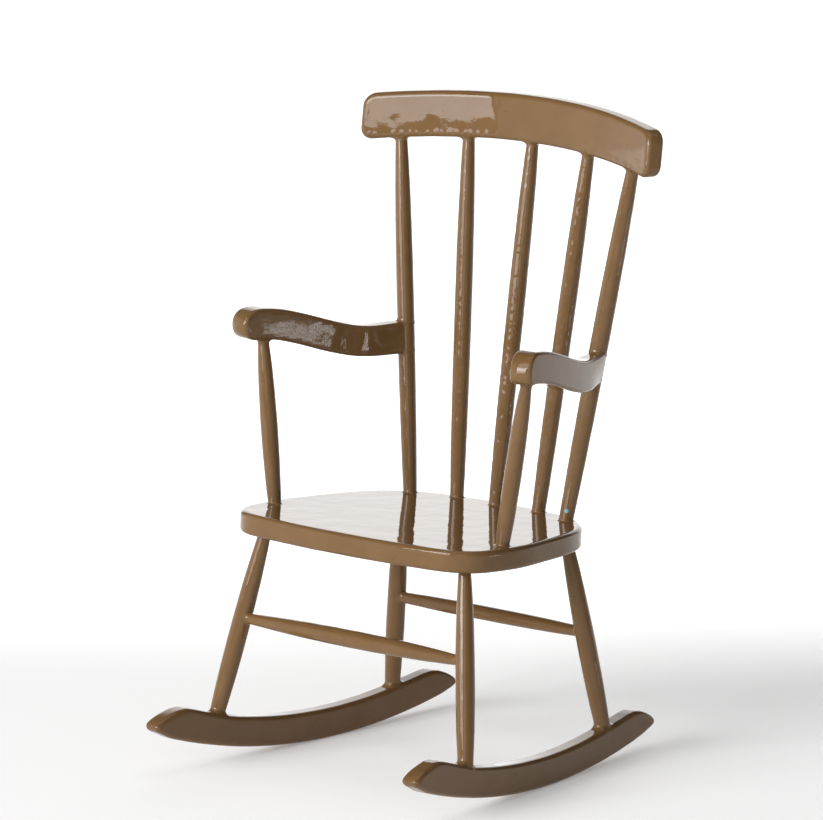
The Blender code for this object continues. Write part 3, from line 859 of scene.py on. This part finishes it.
def map_range(tree, source, old, new, smooth=False):
    """A node that turns one stretch of values into another, and stops at its ends."""
    made = tree.nodes.new("ShaderNodeMapRange")
    if smooth:
        made.interpolation_type = "SMOOTHSTEP"
    made.inputs["From Min"].default_value, made.inputs["From Max"].default_value = old
    made.inputs["To Min"].default_value, made.inputs["To Max"].default_value = new
    tree.links.new(source, made.inputs["Value"])
    return made


def spot(tree, source, centre, inner, outer):
    """One inside a small ball about a point of the chair, nought outside it."""
    away = tree.nodes.new("ShaderNodeVectorMath")
    away.operation = "DISTANCE"
    away.inputs[1].default_value = centre * MM
    tree.links.new(source, away.inputs[0])
    old, new = (outer * MM, inner * MM), (0.0, 1.0)
    return map_range(tree, away.outputs["Value"], old, new).outputs["Result"]


def towards_backdrop(tree, source, rise):
    """How far a point lies towards the backdrop, or how nearly a direction points at it: up to one."""
    made = tree.nodes.new("ShaderNodeVectorMath")
    made.operation = "DOT_PRODUCT"
    turn = math.radians(BACKDROP_BEARING)
    made.inputs[1].default_value = (math.sin(turn), -math.cos(turn), rise)
    tree.links.new(source, made.inputs[0])
    return made.outputs["Value"]


# ---------------------------------------------------------------- enamel

def on_seat(node):
    """Where a turned node's axis goes through the top of the seat."""
    seat = Seat()
    low, axis, _ = turned_profile(node)
    return low + axis * ((seat.top - low.dot(seat.up)) / axis.dot(seat.up))


def fleck_place():
    """A point on the left back post's skin, a little above the seat, on the photograph's side."""
    _, axis, body = turned_profile("back_post_left")
    turn = math.radians(CAMERA_AZIMUTH - FLECK_TURN)
    towards = Vector((math.sin(turn), -math.cos(turn), 0.0))
    towards = (towards - axis * towards.dot(axis)).normalized()
    return on_seat("back_post_left") + axis * FLECK_RISE + towards * (body[0][1] + SPINDLE_COAT[0])


def enamel(name):
    """Thick glossy enamel: a slightly uneven coat, a fine orange peel, a few specks, and painted shade
    in its inner corners.
    """
    material = bpy.data.materials.new(name)
    material.use_nodes = True
    tree = material.node_tree
    shader = tree.nodes["Principled BSDF"]
    shader.inputs["IOR"].default_value = ENAMEL_IOR
    shader.inputs["Coat Weight"].default_value = 0.0
    place = tree.nodes.new("ShaderNodeTexCoord").outputs["Object"]
    pointiness = tree.nodes.new("ShaderNodeNewGeometry").outputs["Pointiness"]

    tone = cloud(tree, place, *TONE_CLOUD)
    colour = ramp(tree, tone, TONE_RAMP, ENAMEL_DARK, ENAMEL_LIGHT)
    edges = ramp(tree, pointiness, EDGE_RAMP, BLACK, WHITE)
    # Painted shade: darker where the surface turns inwards, in the corners where the enamel pools
    corner_shade = ramp(tree, pointiness, CORNER_SHADE_RAMP, WHITE, BLACK)
    specks = ramp(tree, cloud(tree, place, *SPECK_CLOUD), SPECK_RAMP, BLACK, WHITE)
    fleck = spot(tree, place, fleck_place(), FLECK_SIZE * FLECK_CORE, FLECK_SIZE)
    # Edge wear, painted shade in the inner corners, specks and the fleck, laid over the tone
    for factor, other in (
        (edges, ENAMEL_EDGE), (corner_shade, ENAMEL_CORNER_SHADE), (specks, ENAMEL_SPECK), (fleck, FLECK),
    ):
        colour = mixed(tree, factor, colour, other)
    tree.links.new(colour, shader.inputs["Base Color"])

    gloss = map_range(tree, cloud(tree, place, *GLOSS_CLOUD), (0.0, 1.0), ENAMEL_GLOSS)
    tree.links.new(gloss.outputs["Result"], shader.inputs["Roughness"])

    mark = spot(tree, place, on_seat("leg_front_right"), *MARK_SIZE)
    normal = None
    for height, (strength, depth) in (
        (cloud(tree, place, *BROAD_CLOUD), BROAD_BUMP),
        (cloud(tree, place, *FINE_CLOUD), FINE_BUMP),
        (mark, MARK_BUMP),
    ):
        bump = tree.nodes.new("ShaderNodeBump")
        bump.inputs["Strength"].default_value = strength
        bump.inputs["Distance"].default_value = depth
        tree.links.new(height, bump.inputs["Height"])
        if normal is not None:
            tree.links.new(normal, bump.inputs["Normal"])
        normal = bump.outputs["Normal"]
    tree.links.new(normal, shader.inputs["Normal"])
    return material


# ---------------------------------------------------------------- the chair

def make_chair():
    paint = enamel("enamel")
    trees = {}

    def add(name, mesh):
        trees[name] = BVHTree.FromBMesh(mesh)
        finished(name, mesh, paint)

    add("seat", make_seat())
    add("crest_rail", make_crest())
    for word, side in SIDES.items():
        add("rocker_" + word, make_rocker("rocker_" + word, side))
        add("arm_" + word, make_arm("arm_" + word, ARM_NOSES[word]))
    seed = 0.0
    for pair in ("front", "back"):
        for word in SIDES:
            seed += SEED_STEP
            name = "leg_" + pair + "_" + word
            foot, head = Joint(trees["rocker_" + word], *LEG_FOOT), Joint(trees["seat"], *LEG_HEAD)
            add(name, make_turned(name, foot, head, LEG_NIBS, seed))
    for pair in ("front", "back"):
        seed += SEED_STEP
        name = "stretcher_" + pair
        legs = ["leg_" + pair + "_" + word for word in ("right", "left")]
        ends = [Joint(trees[leg], *STRETCHER_END) for leg in legs]
        add(name, make_turned(name, *ends, STRETCHER_NIBS, seed))
    for word in SIDES:
        seed += SEED_STEP
        name = "arm_post_" + word
        foot = Joint(trees["seat"], *ARM_POST_FOOT)
        head = Joint(trees["arm_" + word], *ARM_POST_HEAD)
        add(name, make_turned(name, foot, head, ARM_POST_NIBS, seed))
    for name, nibs in SPINDLE_NIBS.items():
        seed += SEED_STEP
        foot = Joint(trees["seat"], *SPINDLE_FOOT)
        head = Joint(trees["crest_rail"], *SPINDLE_HEAD)
        arm = trees.get(name.replace("back_post", "arm")) if name.startswith("back_post") else None
        coat = NEAR_POST_COAT if name == "back_post_left" else SPINDLE_COAT
        add(name, make_turned(name, foot, head, nibs, seed, arm, coat))


# ---------------------------------------------------------------- studio

def softbox(name, place, target, width, height, radiance):
    """A rectangular softbox that faces its target. Its brightness is given as radiance."""
    light = bpy.data.lights.new(name, "AREA")
    light.shape = "RECTANGLE"
    light.size, light.size_y = width * MM, height * MM
    light.energy = radiance * math.pi * light.size * light.size_y
    holder = new_object(name, light)
    holder.location = Vector(place) * MM
    holder.rotation_euler = (Vector(target) - Vector(place)).to_track_quat("-Z", "Y").to_euler()
    return holder


def standing_softbox(name, bearing, distance, width, bottom, top, roll, radiance):
    """An upright softbox round the chair, from one height to another."""
    turn, middle = math.radians(bearing), (bottom + top) / 2
    place = (distance * math.sin(turn), -distance * math.cos(turn), middle)
    holder = softbox(name, place, (0.0, 0.0, middle), width, top - bottom, radiance)
    holder.rotation_euler.rotate_axis("Z", math.radians(roll))


def pool_of_light():
    """A spotlight that throws a bright disc on the floor beside the chair."""
    light = bpy.data.lights.new("pool", "SPOT")
    light.spot_size = 2 * math.atan(POOL_REACH / POOL_HEIGHT)
    light.spot_blend = POOL_BLEND
    light.shadow_soft_size = POOL_LAMP * MM
    intensity = POOL_RADIANCE * math.pi / FLOOR_ALBEDO * (POOL_HEIGHT * MM) ** 2
    light.energy = 4 * math.pi * intensity
    holder = new_object("pool", light)
    holder.location = Vector((*POOL_PLACE, POOL_HEIGHT)) * MM


def make_floor():
    mesh = bmesh.new()
    radius = FLOOR_RADIUS * MM
    bmesh.ops.create_circle(mesh, cap_ends=True, segments=FLOOR_SEGMENTS, radius=radius)
    data = bpy.data.meshes.new("floor")
    mesh.to_mesh(data)
    mesh.free()
    floor = new_object("floor", data)
    material = bpy.data.materials.new("pale_floor")
    material.use_nodes = True
    tree = material.node_tree
    shader = tree.nodes["Principled BSDF"]
    shader.inputs["Base Color"].default_value = (FLOOR_ALBEDO,) * 3 + (1.0,)
    shader.inputs["Roughness"].default_value = FLOOR_ROUGHNESS
    shader.inputs["Specular IOR Level"].default_value = 0.0
    shader.inputs["Emission Color"].default_value = WHITE
    place = tree.nodes.new("ShaderNodeTexCoord").outputs["Object"]
    reach = [distance * MM for distance in FLOOR_GLOW_REACH]
    # Painted light: the floor glows, dim under the chair and brighter towards the backdrop
    glow = map_range(tree, towards_backdrop(tree, place, 0.0), reach, FLOOR_GLOW, smooth=True)
    tree.links.new(glow.outputs["Result"], shader.inputs["Emission Strength"])
    data.materials.append(material)


def make_world():
    """A dim room with a paler band low round it, and brightest behind the chair."""
    world = bpy.data.worlds.new("studio")
    bpy.context.scene.world = world
    world.use_nodes = True
    tree = world.node_tree
    background = tree.nodes["Background"]
    background.inputs["Strength"].default_value = 1.0
    direction = tree.nodes.new("ShaderNodeTexCoord").outputs["Generated"]
    facing = towards_backdrop(tree, direction, BACKDROP_RISE)
    share = map_range(tree, facing, BACKDROP_EDGE, (0.0, 1.0), smooth=True)
    split = tree.nodes.new("ShaderNodeSeparateXYZ")
    tree.links.new(direction, split.inputs[0])
    radiances = (HORIZON_RADIANCE, ROOM_RADIANCE)
    band = map_range(tree, split.outputs["Z"], HORIZON_HEIGHT, radiances, smooth=True)
    tone = map_range(tree, share.outputs["Result"], (0.0, 1.0), (0.0, BACKDROP_RADIANCE))
    tree.links.new(band.outputs["Result"], tone.inputs["To Min"])
    tree.links.new(tone.outputs["Result"], background.inputs["Color"])


def make_camera():
    camera = bpy.data.cameras.new("camera")
    camera.lens = CAMERA_LENS
    camera.sensor_width = CAMERA_SENSOR
    camera.sensor_fit = "HORIZONTAL"
    camera.clip_start, camera.clip_end = CAMERA_CLIP
    holder = new_object("camera", camera)
    azimuth, elevation = math.radians(CAMERA_AZIMUTH), math.radians(CAMERA_ELEVATION)
    back = Vector((
        math.sin(azimuth) * math.cos(elevation), -math.cos(azimuth) * math.cos(elevation),
        math.sin(elevation),
    ))
    holder.rotation_euler = back.to_track_quat("Z", "Y").to_euler()
    holder.location = Vector(CAMERA_PLACE) * MM
    bpy.context.scene.camera = holder


def make_studio():
    make_floor()
    make_world()
    for name, size in SOFTBOXES.items():
        standing_softbox(name, *size)
    place, target = (*TOP_PLACE, TOP_HEIGHT), (*TOP_PLACE, 0.0)
    softbox("top", place, target, TOP_SIZE, TOP_SIZE, TOP_RADIANCE)
    pool_of_light()
    make_camera()
    bpy.context.scene.view_settings.view_transform = "Standard"


bpy.context.view_layer.update()
make_chair()
make_studio()
bpy.context.view_layer.update()
